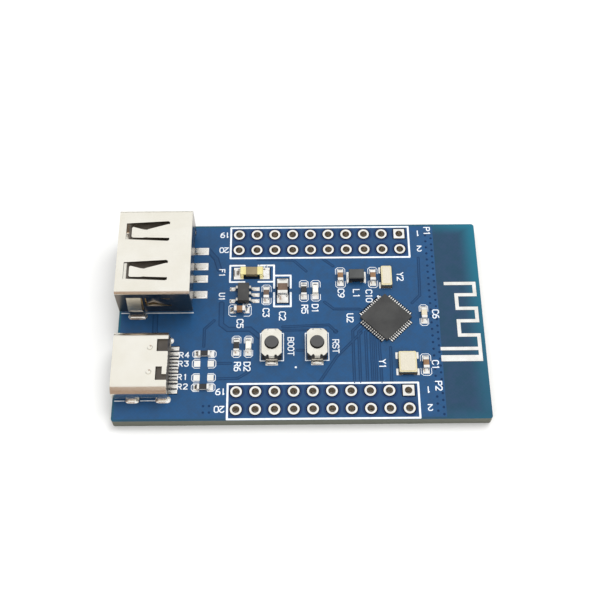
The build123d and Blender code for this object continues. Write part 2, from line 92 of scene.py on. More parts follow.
def add(tree: bpy.types.NodeTree, kind: str, inputs: dict | Sequence = (), **settings: object) -> Sockets:
    """Add one shader node with its settings and its links.

    Args:
        tree: Node tree that gets the node.
        kind: Node type, without its "ShaderNode".
        inputs: Values or output sockets, in the sockets' order, or by their names or numbers.
        **settings: Properties of the node.

    Returns:
        The new node's outputs.
    """
    node = tree.nodes.new("ShaderNode" + kind)
    for name, value in settings.items():
        setattr(node, name, value)
    for socket, value in inputs.items() if isinstance(inputs, dict) else enumerate(inputs):
        if isinstance(value, bpy.types.NodeSocket):
            tree.links.new(value, node.inputs[socket])
        else:
            node.inputs[socket].default_value = value
    return node.outputs


def raise_rim(mesh: bmesh.types.BMesh, made: dict, rise: Sequence[float]) -> None:
    """Move the points of an extrusion just made.

    Args:
        mesh: Shape that holds them.
        made: What the extrusion returned.
        rise: How far they move.
    """
    top = [v for v in made["geom"] if isinstance(v, bmesh.types.BMVert)]
    bmesh.ops.translate(mesh, verts=top, vec=rise)


def stand(name: str, mesh: bmesh.types.BMesh, material: bpy.types.Material) -> bpy.types.Object:
    """Turn a bmesh in metres into an object of the scene.

    Args:
        name: Name of the object.
        mesh: Its shape. It is freed here.
        material: Its material.

    Returns:
        The new object.
    """
    data = bpy.data.meshes.new(name)
    mesh.to_mesh(data)
    mesh.free()
    data.materials.append(material)
    made = bpy.data.objects.new(name, data)
    bpy.context.scene.collection.objects.link(made)
    return made


def publish(
    name: str, mesh: bmesh.types.BMesh, material: bpy.types.Material, smooth: bool = False
) -> None:
    """Turn a finished bmesh into a piece that rides on the board.

    Args:
        name: Name of the piece.
        mesh: The shape in millimetres, already in its place. It is freed here.
        material: Finish of the piece.
        smooth: Whether its faces are shaded smooth.
    """
    bmesh.ops.scale(mesh, vec=(MM, MM, MM), verts=mesh.verts)
    bmesh.ops.recalc_face_normals(mesh, faces=mesh.faces)
    for face in mesh.faces:
        face.smooth = smooth
    piece = stand(name, mesh, material)
    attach(piece, BODY)
    LOG.info("%s: %d faces", name, len(piece.data.polygons))


def dress(material: bpy.types.Material, *names: str) -> None:
    """Give CAD nodes their finish.

    Args:
        material: The finish.
        *names: CAD nodes that get it.
    """
    for name in names:
        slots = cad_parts[name].data.materials
        slots.clear()
        slots.append(material)
        LOG.info("%s: %s", name, material.name)


# ---- finishes ------------------------------------------------------------------------------


class Surface:
    """A material that is wired on its first use."""

    name: str

    def wire(self, node: Callable[..., Sockets]) -> dict:
        """Wire what feeds the shader.

        Args:
            node: Adds one node to the material.

        Returns:
            The shader's inputs, by name.
        """
        raise NotImplementedError

    def material(self) -> bpy.types.Material:
        """Return the material, made on its first use."""
        made = bpy.data.materials.get(self.name)
        if not made:
            made = bpy.data.materials.new(self.name)
            made.use_nodes = True
            made.node_tree.nodes.clear()
            node = partial(add, made.node_tree)
            shader = node("BsdfPrincipled", self.wire(node))
            node("OutputMaterial", (shader[0],))
        return made


@dataclass(frozen=True)
class Finish(Surface):
    """One real material and the way its surface was made.

    Attributes:
        name: Common name of the material and its process.
        colour: Main colour, sRGB hex.
        drift: Colour that it slowly varies to, sRGB hex.
        roughness: Lowest and highest roughness over the grain.
        metallic: One for bare metal, else zero.
        grain: Size of the fine grain in millimetres.
        relief: Height of the fine grain in millimetres.
        drift_size: Size of the slow variation in millimetres.
        brushed: How much longer the grain is along X, Y and Z, for drawn, rolled or brushed surfaces.
        speckle: Share of fine specks that take the drift colour.
        gloss: Specular level of a surface that is not metal.
        walls: Colour of its upright walls, sRGB hex, painted darker than the rest as shade where they stand in shade
            or mirror a shaded board.
    """

    name: str
    colour: str
    drift: str
    roughness: tuple[float, float] = (0.4, 0.5)
    metallic: float = 0.0
    grain: float = 0.12
    relief: float = 0.001
    drift_size: float = 2.5
    brushed: tuple[float, float, float] = (1.0, 1.0, 1.0)
    speckle: float = 0.0
    gloss: float = 0.5
    walls: str = ""

    def wire(self, node: Callable[..., Sockets]) -> dict:
        """Wire the grain, the slow drift of colour and the painted shade of the walls. The rest is as in Surface."""
        where = node("TexCoord")["Object"]
        fine_scale = [1 / (self.grain * MM * stretch) for stretch in self.brushed]
        fine_at = node("Mapping", {"Vector": where, "Scale": fine_scale})[0]
        fine = node("TexNoise", {"Vector": fine_at, "Scale": 1.0, "Detail": 3.0, "Roughness": 0.6})[0]
        slow = node("TexNoise", {"Vector": where, "Scale": 1 / (self.drift_size * MM), "Detail": 3.0})[0]
        share = node("MapRange", (slow, 0.35, 0.68))[0]
        tone = node(
            "Mix", {FACTOR: share, COLOUR_A: linear(self.colour), COLOUR_B: linear(self.drift)}, data_type="RGBA"
        )[COLOUR_OUT]
        if self.speckle:
            edge = 0.5 + 0.12 * (1 - self.speckle)
            specks = node("MapRange", (fine, edge, edge + 0.12, 0.0, self.speckle))[0]
            tone = node(
                "Mix", {FACTOR: specks, COLOUR_A: tone, COLOUR_B: linear(self.drift)}, data_type="RGBA"
            )[COLOUR_OUT]
        # Painted shade: upright faces turn to the darker walls colour.
        if self.walls:
            facing = node("TexCoord")["Normal"]
            up = node("SeparateXYZ", (facing,))[2]
            steep = node("Math", (up,), operation="ABSOLUTE")[0]
            upright = node("MapRange", (steep, 0.35, 0.05))[0]
            tone = node(
                "Mix", {FACTOR: upright, COLOUR_A: tone, COLOUR_B: linear(self.walls)}, data_type="RGBA"
            )[COLOUR_OUT]
        low, high = self.roughness
        rough = node("MapRange", (fine, 0.3, 0.7, low, high))[0]
        bump = node("Bump", {"Height": fine, "Distance": self.relief * MM})[0]
        return {
            "Base Color": tone,
            "Roughness": rough,
            "Normal": bump,
            "Metallic": self.metallic,
            "Specular IOR Level": self.gloss,
        }


# Hot-air levelled tin over copper: bright, slightly wavy, never quite even.
TINNED_COPPER = Finish(
    "tinned copper, hot-air levelled", "#fdfcf9", "#efede6", (0.16, 0.36), metallic=1.0, grain=0.3, relief=0.008,
    drift_size=1.2,
)
# Reflowed tin-silver solder: a little greyer than the pads and frosted where it froze last.
SOLDER = Finish(
    "reflowed tin solder", "#fcfbf8", "#e6e4dd", (0.1, 0.3), metallic=1.0, grain=0.14, relief=0.005, drift_size=0.7
)
# Nickel plate over rolled strip: satin, with the faint direction of the strip along the port.
NICKEL_SHELL = Finish(
    "nickel plated steel strip, satin", "#f4f1e7", "#eeeadd", (0.22, 0.28), metallic=1.0, grain=0.05, relief=0.0003,
    drift_size=4.0, brushed=(1, 9, 1),
)
# The large port's shell: the same strip, with its upright walls painted dark as a reflection of the shaded board
# beside them.
LARGE_SHELL = replace(NICKEL_SHELL, name="nickel plated steel strip, shade painted walls", walls="#857c74")
# The small port's moulding: a dark grey-brown polymer.
SMALL_PORT_PLASTIC = Finish(
    "moulded grey-brown polymer", "#3b3631", "#4d4740", (0.4, 0.6), grain=0.08, relief=0.003, speckle=0.3
)
# Liquid-crystal polymer with glass: matt, dark grey-brown, with fine flow marks.
CONNECTOR_PLASTIC = Finish(
    "moulded dark polymer, glass filled", "#544d44", "#5e564c", (0.42, 0.6), grain=0.08, relief=0.003, speckle=0.25
)
# Rolled stainless sheet: cooler and duller than the nickel.
STAINLESS = Finish(
    "rolled stainless sheet", "#c2c1bd", "#adaca8", (0.25, 0.4), metallic=1.0, grain=0.04, relief=0.0008,
    brushed=(1, 8, 1),
)
# Stamped tinned steel: pale, almost white, with soft reflections.
TINNED_STEEL = Finish(
    "stamped tinned steel", "#f6f3e8", "#ebe7da", (0.22, 0.36), metallic=1.0, grain=0.08, relief=0.0015,
    drift_size=1.5,
)
# Moulded nylon of the button's base.
BASE_PLASTIC = Finish("moulded black nylon", "#1b1b1c", "#262627", (0.45, 0.6), grain=0.07, relief=0.002, speckle=0.2)
# Silica-filled moulding epoxy: dark grey, matt, with pale specks of filler.
CHIP_EPOXY = Finish(
    "moulded chip epoxy, silica filled", "#333333", "#434342", (0.5, 0.68), grain=0.06, relief=0.003, speckle=0.45
)
# Plated copper leads of the regulator.
TIN_LEADS = Finish(
    "tin plated leads", "#dedcd6", "#c8c5bd", (0.24, 0.4), metallic=1.0, grain=0.06, relief=0.002, drift_size=0.8
)
# Black alumina base of a crystal.
CRYSTAL_BASE = Finish("fired black alumina", "#3a352f", "#4a443c", (0.5, 0.66), grain=0.05, relief=0.002, speckle=0.3)
# Pressed and sintered ferrite: dark grey and grainy, with its upright sides painted near black as shade.
FERRITE = Finish(
    "moulded ferrite powder", "#444646", "#525454", (0.5, 0.7), grain=0.07, relief=0.004, speckle=0.5, walls="#161718"
)
# Laminated polymer strip of the fuse, with an olive cast.
FUSE_BODY = Finish(
    "fuse body, olive-grey polymer", "#7e7153", "#948666", (0.3, 0.45), grain=0.08, relief=0.002, speckle=0.3
)
# Gold flash on the fuse's wide ends.
FUSE_ENDS = Finish(
    "fuse ends, pale gold plate", "#fbf2b4", "#f0dd92", (0.18, 0.32), metallic=1.0, grain=0.08, relief=0.002,
    drift_size=1.0,
)
# Fired ceramic of the capacitors: matt and fine-grained, its colour set by the mix of oxides.
TAN_CERAMIC = Finish(
    "fired capacitor ceramic, tan", "#94704f", "#806044", (0.35, 0.5), grain=0.05, relief=0.002, drift_size=0.8,
    speckle=0.3,
)
BROWN_CERAMIC = replace(TAN_CERAMIC, name="fired capacitor ceramic, grey-brown", colour="#6f5a4b", drift="#5d4b3f")
PALE_CERAMIC = Finish(
    "fired capacitor ceramic, pale", "#d8cfb8", "#c7bca2", (0.42, 0.56), grain=0.05, relief=0.002, drift_size=0.8,
    speckle=0.25,
)
# Screened white epoxy ink: matt, slightly thin in places.
WHITE_INK = Finish(
    "screened white epoxy ink", "#f0f3f6", "#dbe2e9", (0.5, 0.66), grain=0.06, relief=0.002, drift_size=0.5, gloss=0.3
)
# Mask over the gaps between copper: darker, because only brown laminate lies under it.
GAP_MASK = Finish(
    "solder mask over bare laminate", "#12395f", "#0f3459", (0.3, 0.42), grain=0.2, relief=0.001, gloss=0.25
)
# Mask over a copper track.
TRACK_MASK = Finish(
    "solder mask over a copper track", "#1a4671", "#174168", (0.3, 0.42), grain=0.2, relief=0.001, gloss=0.3
)
# A via filled with mask: a dot of dark blue.
VIA_MASK = Finish("solder mask in a via", "#082a4f", "#0a2f55", (0.35, 0.5), grain=0.1, relief=0.001, gloss=0.2)
# Mask openings show dark laminate round the tin and between fine lands.
OPENING = Finish(
    "laminate inside a mask opening", "#061628", "#0a1d30", (0.5, 0.65), grain=0.1, relief=0.002, speckle=0.3,
    gloss=0.12,
)


@dataclass(frozen=True)
class BoardFinish(Surface):
    """Glass-epoxy board: blue solder mask on both faces, bare laminate on its routed edges, tin in its holes.

    The mask is lighter over the copper pour than over bare laminate, which shows as the antenna zone,
    the thin rim along the edges and the clear rings round the header holes.
    """

    name: str = "solder mask over copper and glass epoxy"
    over_copper: str = "#1b4d7b"
    over_copper_drift: str = "#20476d"
    over_laminate: str = "#173e55"
    over_laminate_drift: str = "#233f5c"
    rim_glow: str = "#0c6a80"
    clearance: str = "#0a2f5c"
    header_shade: str = "#1c385b"
    edge: str = "#56594f"
    edge_fibre: str = "#73766b"
    tin: str = "#dcdad2"
    barrel: str = "#cbbfae"
    glow_reach: float = 2.7
    far_glow_reach: float = 2.0
    pour_end: float = 19.0
    rim: float = 0.3
    weave: float = 0.55
    row_middle: float = 12.18
    row_half: float = 1.27
    ring_radius: float = 0.81
    clear_radius: float = 1.16
    gloss: float = 0.3

    def wire(self, node: Callable[..., Sockets]) -> dict:
        """Wire the mask, the header's rings and the routed edge. The rest is as in Surface."""
        coord = node("TexCoord")
        at = node("VectorMath", {0: coord["Object"], "Scale": 1 / MM}, operation="SCALE")[0]
        x, y, _ = node("SeparateXYZ", (at,))
        up = node("SeparateXYZ", (coord["Normal"],))[2]
        side_x = node("Math", (x,), operation="ABSOLUTE")[0]
        side_y = node("Math", (y,), operation="ABSOLUTE")[0]

        # Distance from the nearest header hole.
        from_column = node("Math", (x, FIRST_COLUMN), operation="SUBTRACT")[0]
        across = node("Math", (from_column, HEADER_PITCH / 2, -HEADER_PITCH / 2), operation="WRAP")[0]
        from_rows = node("Math", (side_y, self.row_middle), operation="SUBTRACT")[0]
        row_off = node("Math", (from_rows,), operation="ABSOLUTE")[0]
        along = node("Math", (row_off, self.row_half), operation="SUBTRACT")[0]
        offset = node("CombineXYZ", (across, along))[0]
        away = node("VectorMath", (offset,), operation="LENGTH")["Value"]
        left = FIRST_COLUMN - HEADER_PITCH / 2
        right = FIRST_COLUMN + HEADER_PITCH * (COLUMNS - 0.5)
        past_left = node("Math", (x, left), operation="GREATER_THAN")[0]
        before_right = node("Math", (x, right), operation="LESS_THAN")[0]
        in_header = node("Math", (past_left, before_right), operation="MULTIPLY")[0]

        # Slow mottling of the mask and the fine cloth of the laminate under it.
        mottle = node("TexNoise", {"Vector": at, "Scale": 0.9, "Detail": 5.0, "Roughness": 0.65})[0]
        specks = node("TexNoise", {"Vector": at, "Scale": 5.0, "Detail": 3.0, "Roughness": 0.7})[0]
        turn_x = node("Math", (x, 2 * math.pi / self.weave), operation="MULTIPLY")[0]
        turn_y = node("Math", (y, 2 * math.pi / self.weave), operation="MULTIPLY")[0]
        warp = node("Math", (turn_x,), operation="SINE")[0]
        weft = node("Math", (turn_y,), operation="SINE")[0]
        cloth = node("Math", (warp, weft), operation="MULTIPLY")[0]
        blend = node("Math", (cloth, 0.05, mottle), operation="MULTIPLY_ADD")[0]
        share = node("MapRange", (blend, 0.35, 0.66))[0]
        pour = node(
            "Mix", {FACTOR: share, COLOUR_A: linear(self.over_copper), COLOUR_B: linear(self.over_copper_drift)},
            data_type="RGBA",
        )[COLOUR_OUT]
        bare = node(
            "Mix", {FACTOR: share, COLOUR_A: linear(self.over_laminate), COLOUR_B: linear(self.over_laminate_drift)},
            data_type="RGBA",
        )[COLOUR_OUT]

        # Where no copper lies under the mask: past the pour's end and along the rim.
        beyond = node("MapRange", (x, self.pour_end - 0.03, self.pour_end + 0.03))[0]
        rim_x = node("Math", (side_x, HALF_LENGTH - self.rim), operation="GREATER_THAN")[0]
        rim_y = node("Math", (side_y, HALF_WIDTH - self.rim), operation="GREATER_THAN")[0]
        rim = node("Math", (rim_x, rim_y), operation="MAXIMUM")[0]
        no_copper = node("Math", (beyond, rim), operation="MAXIMUM")[0]

        # Painted light: the teal glow of light that enters the cut edge and shines through the bare laminate near it,
        # painted into the colour and strongest towards the far right corner.
        from_x = node("Math", (HALF_LENGTH, side_x), operation="SUBTRACT")[0]
        from_y = node("Math", (HALF_WIDTH, side_y), operation="SUBTRACT")[0]
        toward_far = node("MapRange", (y, -15.0, 14.0, 0.25, 0.95))[0]
        toward_right = node("MapRange", (x, 18.0, 24.5, 0.3, 0.95))[0]
        glows = []
        for distance, reach, strength in (
            (from_x, self.glow_reach, toward_far), (from_y, self.far_glow_reach, toward_right)
        ):
            near = node("MapRange", (distance, reach, 0.0), interpolation_type="SMOOTHSTEP")[0]
            glows.append(node("Math", (near, strength), operation="MULTIPLY")[0])
        far_half = node("MapRange", (y, -10.0, 10.0, 0.35, 1.0))[0]
        glows[1] = node("Math", (glows[1], far_half), operation="MULTIPLY")[0]
        glow = node("Math", (glows[0], glows[1]), operation="MAXIMUM")[0]
        bare = node(
            "Mix", {FACTOR: glow, COLOUR_A: bare, COLOUR_B: linear(self.rim_glow)}, data_type="RGBA"
        )[COLOUR_OUT]
        mask = node("Mix", {FACTOR: no_copper, COLOUR_A: pour, COLOUR_B: bare}, data_type="RGBA")[COLOUR_OUT]
        near_hole = node("MapRange", (away, self.clear_radius + 0.03, self.clear_radius - 0.03))[0]
        clear = node("Math", (near_hole, in_header), operation="MULTIPLY")[0]
        in_rows = node("MapRange", (row_off, 2.35, 2.1, 0.0, 0.4))[0]
        shaded = node("Math", (in_rows, in_header), operation="MULTIPLY")[0]
        mask = node(
            "Mix", {FACTOR: shaded, COLOUR_A: mask, COLOUR_B: linear(self.header_shade)}, data_type="RGBA"
        )[COLOUR_OUT]
        mask = node(
            "Mix", {FACTOR: clear, COLOUR_A: mask, COLOUR_B: linear(self.clearance)}, data_type="RGBA"
        )[COLOUR_OUT]

        # Rings printed on the underside, and the tin on the walls of holes and slots.
        down = node("Math", (up, -0.5), operation="LESS_THAN")[0]
        in_ring = node("Math", (away, self.ring_radius), operation="LESS_THAN")[0]
        ring = node("Math", (in_ring, in_header), operation="MULTIPLY")[0]
        ring = node("Math", (ring, down), operation="MULTIPLY")[0]
        tilt = node("Math", (up,), operation="ABSOLUTE")[0]
        wall = node("Math", (tilt, 0.5), operation="LESS_THAN")[0]
        inside_x = node("Math", (side_x, HALF_LENGTH - 0.1), operation="LESS_THAN")[0]
        inside_y = node("Math", (side_y, HALF_WIDTH - 0.1), operation="LESS_THAN")[0]
        inside = node("Math", (inside_x, inside_y), operation="MULTIPLY")[0]
        plated = node("Math", (wall, inside), operation="MULTIPLY")[0]
        tinned = node("Math", (plated, ring), operation="MAXIMUM")[0]

        # Routed edge: layers of glass cloth in amber-grey resin.
        layers = node("Mapping", {"Vector": at, "Scale": (1.4, 1.4, 9.0)})[0]
        fibre = node("TexNoise", {"Vector": layers, "Scale": 1.5, "Detail": 4.0, "Roughness": 0.7})[0]
        edge = node(
            "Mix", {FACTOR: fibre, COLOUR_A: linear(self.edge), COLOUR_B: linear(self.edge_fibre)}, data_type="RGBA"
        )[COLOUR_OUT]

        tone = node("Mix", {FACTOR: wall, COLOUR_A: mask, COLOUR_B: edge}, data_type="RGBA")[COLOUR_OUT]
        tone = node("Mix", {FACTOR: ring, COLOUR_A: tone, COLOUR_B: linear(self.tin)}, data_type="RGBA")[COLOUR_OUT]
        tone = node(
            "Mix", {FACTOR: plated, COLOUR_A: tone, COLOUR_B: linear(self.barrel)}, data_type="RGBA"
        )[COLOUR_OUT]
        rough_mask = node("MapRange", (specks, 0.3, 0.7, 0.3, 0.42))[0]
        rough = node("Mix", {FACTOR: wall, FLOAT_A: rough_mask, FLOAT_B: 0.75})[0]
        rough = node("Mix", {FACTOR: tinned, FLOAT_A: rough, FLOAT_B: 0.35})[0]
        relief = node("Math", (cloth, 0.25, specks), operation="MULTIPLY_ADD")[0]
        bump = node("Bump", {"Height": relief, "Distance": 0.002 * MM})[0]
        return {
            "Base Color": tone,
            "Roughness": rough,
            "Metallic": tinned,
            "Normal": bump,
            "Specular IOR Level": self.gloss,
        }


@dataclass(frozen=True)
class LayeredFinish(Surface):
    """A small part in two materials that meet at a flat surface square to one axis, or in one material painted darker
    as shade before the split.

    Attributes:
        name: Common names of the two materials.
        lower: Colour before the split, sRGB hex.
        upper: Colour past the split, sRGB hex.
        split: Where the split lies along the axis, in millimetres.
        roughness: Roughness of the lower and the upper material.
        glow: Subsurface weight, for a milky upper material.
        metallic: One if both are metals, else zero.
        axis: Number of the axis, 0 along the board and 2 upwards.
        relief: Height of the grain, in millimetres.
        grain: Size of the grain, in millimetres.
        depth: How far light goes into a milky material, in millimetres.
    """

    name: str
    lower: str
    upper: str
    split: float
    roughness: tuple[float, float] = (0.6, 0.25)
    glow: float = 0.0
    metallic: float = 0.0
    axis: int = 2
    relief: float = 0.001
    grain: float = 0.08
    depth: float = 0.3

    def wire(self, node: Callable[..., Sockets]) -> dict:
        """Wire the two layers. The rest is as in Surface."""
        where = node("TexCoord")["Object"]
        high = node("SeparateXYZ", (where,))[self.axis]
        over = node("MapRange", (high, (self.split - 0.01) * MM, (self.split + 0.01) * MM))[0]
        grain = node("TexNoise", {"Vector": where, "Scale": 1 / (self.grain * MM), "Detail": 3.0})[0]
        mixed = node(
            "Mix", {FACTOR: over, COLOUR_A: linear(self.lower), COLOUR_B: linear(self.upper)}, data_type="RGBA"
        )[COLOUR_OUT]
        value = node("MapRange", (grain, 0.3, 0.7, 0.9, 1.1))[0]
        tone = node("HueSaturation", {"Value": value, "Color": mixed})[0]
        rough = node("Mix", {FACTOR: over, FLOAT_A: self.roughness[0], FLOAT_B: self.roughness[1]})[0]
        bump = node("Bump", {"Height": grain, "Distance": self.relief * MM})[0]
        return {
            "Base Color": tone,
            "Roughness": rough,
            "Normal": bump,
            "Metallic": self.metallic,
            "Subsurface Weight": self.glow,
            "Subsurface Radius": (self.depth * MM,) * 3,
        }


BOARD_FINISH = BoardFinish()
# Thick-film resistor: white alumina under black glass.
RESISTOR_GLASS = LayeredFinish("black overglaze on alumina", "#d8d4ca", "#242425", PAD_TOP + 0.33)
# Contact strip: gold flash where plugs rub it, tin on the soldered leads.
CONTACT_STRIP = LayeredFinish(
    "contact strip, gold tips and tinned leads", "#e6c27c", "#eceae4", -18.2, (0.25, 0.25), metallic=1.0, axis=0
)
# Button: pale matt top, and its side below the cover plate painted nearly black as the shade in the gap round it.
BUTTON_TOP = LayeredFinish("moulded grey button, dark side", "#161616", "#4b4b4b", 3.39, (0.35, 0.55))
# Crystal's lid: nickel iron, bright on its raised middle, with gold showing on the welded rim.
CRYSTAL_LID = LayeredFinish(
    "welded crystal lid, gold-flashed rim", "#f4e9c0", "#f0e9d6", 2.41, (0.3, 0.3), metallic=1.0
)
# Light: white laminate under a milky cast lens.
LED_LENS = LayeredFinish(
    "milky cast lens on white laminate", "#d9d6c8", "#eceae0", PAD_TOP + 0.25, (0.5, 0.22), glow=0.4
)


# ---- strokes: printing and copper ------------------------------------------------------------


class Pen:
    """Lays flat, round-ended bars on the board, as a print screen or an etched film leaves them.

    Each bar is a hair higher or lower than its neighbours, so that no two tops lie in one plane.
    """

    height_step = 0.0007
    height_steps = 11
    corner_cut = 0.28
    loop_sides = 12

    def __init__(self, base: float, height: float, sides: int = 12) -> None:
        """Start an empty layer.

        Args:
            base: Level of the layer's underside.
            height: Thickness of the layer.
            sides: Sides of a full round end.
        """
        self.mesh = bmesh.new()
        self.base = base
        self.height = height
        self.sides = sides
        self.bars = 0

    def bar(self, start: Point, end: Point, width: float) -> None:
        """Lay one straight bar with round ends.

        Args:
            start: First end.
            end: Other end.
            width: Width of the bar.
        """
        run = Vector((end[0] - start[0], end[1] - start[1], 0))
        turn = Matrix.Rotation(math.atan2(run.y, run.x) + math.pi / self.sides, 4, "Z")
        spot = Matrix.Translation((start[0], start[1], self.base)) @ turn
        made = bmesh.ops.create_circle(self.mesh, cap_ends=True, segments=self.sides, radius=width / 2, matrix=spot)
        ring = made["verts"]
        ahead = [v for v in ring if (v.co - spot.translation).dot(run) > 0]
        bmesh.ops.translate(self.mesh, verts=ahead, vec=run)
        raised = bmesh.ops.extrude_face_region(self.mesh, geom=list(ring[0].link_faces))
        self.bars += 1
        extra = self.height_step * (self.bars % self.height_steps)
        raise_rim(self.mesh, raised, (0, 0, self.height + extra))

    def dot(self, x: float, y: float, radius: float) -> None:
        """Lay one round dot."""
        self.bar((x, y), (x, y), 2 * radius)

    def slab(self, place: Matrix, length: float, width: float) -> None:
        """Lay one rectangle, centred on a place, on top of the layer's base."""
        size = Matrix.Diagonal((length, width, self.height, 1))
        lift = Matrix.Translation((0, 0, self.base + self.height / 2))
        bmesh.ops.create_cube(self.mesh, size=1.0, matrix=lift @ place @ size)

    def loop(self, x: float, y: float, radius: float, width: float) -> None:
        """Lay one round ring."""
        turns = [2 * math.pi * k / self.loop_sides for k in range(self.loop_sides)]
        points = [(x + radius * math.cos(t), y + radius * math.sin(t)) for t in turns]
        self.line(points, width, closed=True)

    def line(self, points: Sequence[Point], width: float, closed: bool = False) -> None:
        """Lay a run of bars.

        Args:
            points: Corners of the run.
            width: Width of the bars.
            closed: Whether the last corner joins the first.
        """
        ends = list(points) + [points[0]] if closed else list(points)
        for start, end in zip(ends, ends[1:]):
            self.bar(start, end, width)

    def frame(
        self, left: float, right: float, low: float, high: float, width: float,
        gaps: Iterable[tuple[float, float]] = (),
    ) -> None:
        """Lay a rectangle, with its long sides open over the gaps.

        Args:
            left: Middle of its left side.
            right: Middle of its right side.
            low: Middle of its near side.
            high: Middle of its far side.
            width: Width of the bars.
            gaps: Stretches of X left open on the near and far sides.
        """
        spans = [left]
        for start, end in gaps:
            spans += [start, end]
        spans.append(right)
        for a, b in zip(spans[::2], spans[1::2]):
            self.line([(a, low), (b, low)], width)
            self.line([(a, high), (b, high)], width)
        self.line([(left, low), (left, high)], width)
        self.line([(right, low), (right, high)], width)

    def bracket(
        self, left: float, right: float, low: float, high: float, width: float, arms: float, upright: bool
    ) -> None:
        """Lay two facing brackets with cut corners round a small part.

        Args:
            left: Middle of the left side.
            right: Middle of the right side.
            low: Middle of the near side.
            high: Middle of the far side.
            width: Width of the bars.
            arms: How far the brackets reach towards each other.
            upright: Whether they close the near and far ends, else the left and right ends.
        """
        low_end, high_end, near, far = (low, high, left, right) if upright else (left, right, low, high)
        cut = self.corner_cut
        for end, inward in ((low_end, 1), (high_end, -1)):
            path = [
                (near, end + inward * arms),
                (near, end + inward * cut),
                (near + cut, end),
                (far - cut, end),
                (far, end + inward * cut),
                (far, end + inward * arms),
            ]
            self.line(path if upright else [(y, x) for x, y in path], width)


# Strokes of the plain drafting letters, on a field four wide and six high.
LETTERS: dict[str, tuple[tuple[Point, ...], ...]] = {
    "0": (((1, 0), (3, 0), (4, 1.2), (4, 4.8), (3, 6), (1, 6), (0, 4.8), (0, 1.2), (1, 0)),),
    "1": (((1.3, 5.2), (2.1, 6), (2.1, 0)),),
    "2": (((0, 5), (0.9, 6), (3.1, 6), (4, 5), (4, 3.9), (0, 0), (4, 0)),),
    "3": (((0, 6), (4, 6), (2, 3.6), (3.1, 3.4), (4, 2.4), (4, 1), (3, 0), (1, 0), (0, 1)),),
    "4": (((3, 0), (3, 6), (0, 1.8), (4, 1.8)),),
    "5": (((4, 6), (0.4, 6), (0, 3.3), (1, 3.8), (3, 3.8), (4, 2.8), (4, 1), (3, 0), (1, 0), (0, 1)),),
    "6": (
        (
            (3.4, 6), (2, 5.6), (0.6, 4.2), (0, 2.2), (0, 1), (1, 0), (3, 0),
            (4, 1), (4, 2.4), (3, 3.4), (1, 3.4), (0.1, 2.5),
        ),
    ),
    "9": (
        (
            (0.6, 0), (2, 0.4), (3.4, 1.8), (4, 3.8), (4, 5), (3, 6), (1, 6),
            (0, 5), (0, 3.6), (1, 2.6), (3, 2.6), (3.9, 3.5),
        ),
    ),
    "B": (
        ((0, 0), (0, 6), (3, 6), (4, 5.2), (4, 4), (3, 3.2), (0, 3.2)), ((3, 3.2), (4, 2.3), (4, 0.9), (3, 0), (0, 0))
    ),
    "C": (((4, 1), (3, 0), (1, 0), (0, 1), (0, 5), (1, 6), (3, 6), (4, 5)),),
    "D": (((0, 0), (0, 6), (2.4, 6), (4, 4.6), (4, 1.4), (2.4, 0), (0, 0)),),
    "F": (((0, 0), (0, 6), (3.8, 6)), ((0, 3.2), (2.8, 3.2))),
    "L": (((0, 6), (0, 0), (3.6, 0)),),
    "O": (((1.2, 0), (2.8, 0), (4, 1.2), (4, 4.8), (2.8, 6), (1.2, 6), (0, 4.8), (0, 1.2), (1.2, 0)),),
    "P": (((0, 0), (0, 6), (3, 6), (4, 5.1), (4, 3.8), (3, 2.9), (0, 2.9)),),
    "R": (((0, 0), (0, 6), (3, 6), (4, 5.1), (4, 3.8), (3, 2.9), (0, 2.9)), ((2, 2.9), (4, 0))),
    "S": (((4, 5), (3, 6), (1, 6), (0, 5), (0, 4.1), (1, 3.2), (3, 2.8), (4, 1.9), (4, 1), (3, 0), (1, 0), (0, 1)),),
    "T": (((0, 6), (4, 6)), ((2, 6), (2, 0))),
    "U": (((0, 6), (0, 1), (1, 0), (3, 0), (4, 1), (4, 6)),),
    "Y": (((0, 6), (2, 3.2), (4, 6)), ((2, 3.2), (2, 0))),
}


class Turn(Enum):
    """Which way a label reads."""

    UPRIGHT = 0
    DOWNWARD = -90
    UPSIDE_DOWN = 180


@dataclass(frozen=True)
class Label:
    """One generic part designator, pin number or button name.

    Attributes:
        text: What it says.
        x: Middle of the label along X.
        y: Middle of the label along Y.
        turn: Which way it reads.
        height: Height of its letters.
        stroke: Width of its strokes.
        step: Distance from letter to letter, in sixths of the height.
    """

    text: str
    x: float
    y: float
    turn: Turn = Turn.DOWNWARD
    height: float = 0.82
    stroke: float = 0.15
    step: float = 5.2

    def draw(self, pen: Pen) -> None:
        """Lay the label's strokes with the pen."""
        unit = self.height / 6
        step = self.step * unit
        start = -((len(self.text) - 1) * step + 4 * unit) / 2
        spin = Matrix.Rotation(math.radians(self.turn.value), 4, "Z")
        for k, letter in enumerate(self.text):
            for run in LETTERS[letter]:
                local = (Vector((start + k * step + px * unit, (py - 3) * unit, 0)) for px, py in run)
                placed = [spin @ p for p in local]
                pen.line([(self.x + p.x, self.y + p.y) for p in placed], self.stroke)


